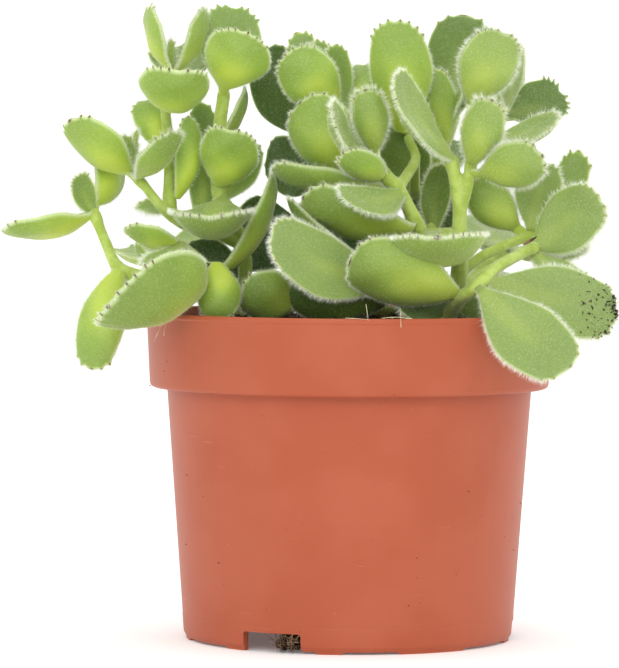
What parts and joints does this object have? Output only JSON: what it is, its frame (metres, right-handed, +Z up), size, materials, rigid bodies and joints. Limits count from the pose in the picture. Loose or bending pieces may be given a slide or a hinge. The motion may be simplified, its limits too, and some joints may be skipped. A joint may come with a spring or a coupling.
{
  "type": "potted bear's paw plant",
  "caption": "Bushy small succulent with thick hairy paw-shaped leaves, toothed at the tips, growing on branching stems from soil in a round moulded nursery pot with a wide rim band.",
  "frame": {"origin": "centre of the pot's underside, on the plane that the pot stands on", "axes": "+Z up along the pot's axis, -Y towards the front of the plant, +X to the right seen from the front"},
  "size_m": [0.1569, 0.1111, 0.1648],
  "materials": {
    "terracotta_plastic": "satin injection-moulded terracotta-coloured polypropylene with a fine dusty bloom and light scuffs",
    "potting_soil": "dark damp peat and bark crumbs with a few pale mineral grains",
    "green_stem": "pale yellow-green young stem, soft, covered with short white hairs",
    "leaf_skin": "velvety bright green succulent leaf, fine white hairs all over and in a fringe at the edge, brown tips on the teeth"
  },
  "bodies": {
    "root": {"pot": "terracotta_plastic", "soil": "potting_soil", "stem_left": "green_stem", "stem_centre": "green_stem", "stem_right": "green_stem", "leaf_left_tip_1": "leaf_skin", "leaf_left_tip_2": "leaf_skin", "leaf_left_fan_1": "leaf_skin", "leaf_left_fan_2": "leaf_skin", "leaf_left_top_1": "leaf_skin", "leaf_left_top_2": "leaf_skin", "leaf_left_top_3": "leaf_skin", "leaf_left_top_4": "leaf_skin", "leaf_left_crown_1": "leaf_skin", "leaf_left_crown_2": "leaf_skin", "leaf_left_broad_1": "leaf_skin", "leaf_left_broad_2": "leaf_skin", "leaf_left_broad_3": "leaf_skin", "leaf_left_broad_4": "leaf_skin", "leaf_left_low_1": "leaf_skin", "leaf_left_low_2": "leaf_skin", "leaf_left_low_3": "leaf_skin", "leaf_left_low_4": "leaf_skin", "leaf_left_low_5": "leaf_skin", "leaf_left_low_6": "leaf_skin", "leaf_left_back_1": "leaf_skin", "leaf_centre_back_1": "leaf_skin", "leaf_centre_back_2": "leaf_skin", "leaf_centre_back_3": "leaf_skin", "leaf_centre_back_4": "leaf_skin", "leaf_centre_back_5": "leaf_skin", "leaf_centre_back_6": "leaf_skin", "leaf_centre_back_7": "leaf_skin", "leaf_centre_top_1": "leaf_skin", "leaf_centre_top_2": "leaf_skin", "leaf_centre_mid_1": "leaf_skin", "leaf_centre_mid_2": "leaf_skin", "leaf_centre_mid_3": "leaf_skin", "leaf_centre_mid_4": "leaf_skin", "leaf_centre_mid_5": "leaf_skin", "leaf_centre_mid_6": "leaf_skin", "leaf_centre_low_1": "leaf_skin", "leaf_centre_low_2": "leaf_skin", "leaf_centre_low_3": "leaf_skin", "leaf_centre_low_4": "leaf_skin", "leaf_right_top_1": "leaf_skin", "leaf_right_top_2": "leaf_skin", "leaf_right_top_3": "leaf_skin", "leaf_right_top_4": "leaf_skin", "leaf_right_mid_1": "leaf_skin", "leaf_right_mid_2": "leaf_skin", "leaf_right_mid_3": "leaf_skin", "leaf_right_mid_4": "leaf_skin", "leaf_right_side_1": "leaf_skin", "leaf_right_side_2": "leaf_skin", "leaf_right_side_3": "leaf_skin", "leaf_right_low_1": "leaf_skin", "leaf_right_low_2": "leaf_skin", "leaf_right_low_3": "leaf_skin", "leaf_right_back_1": "leaf_skin"}
  },
  "joints": []
}
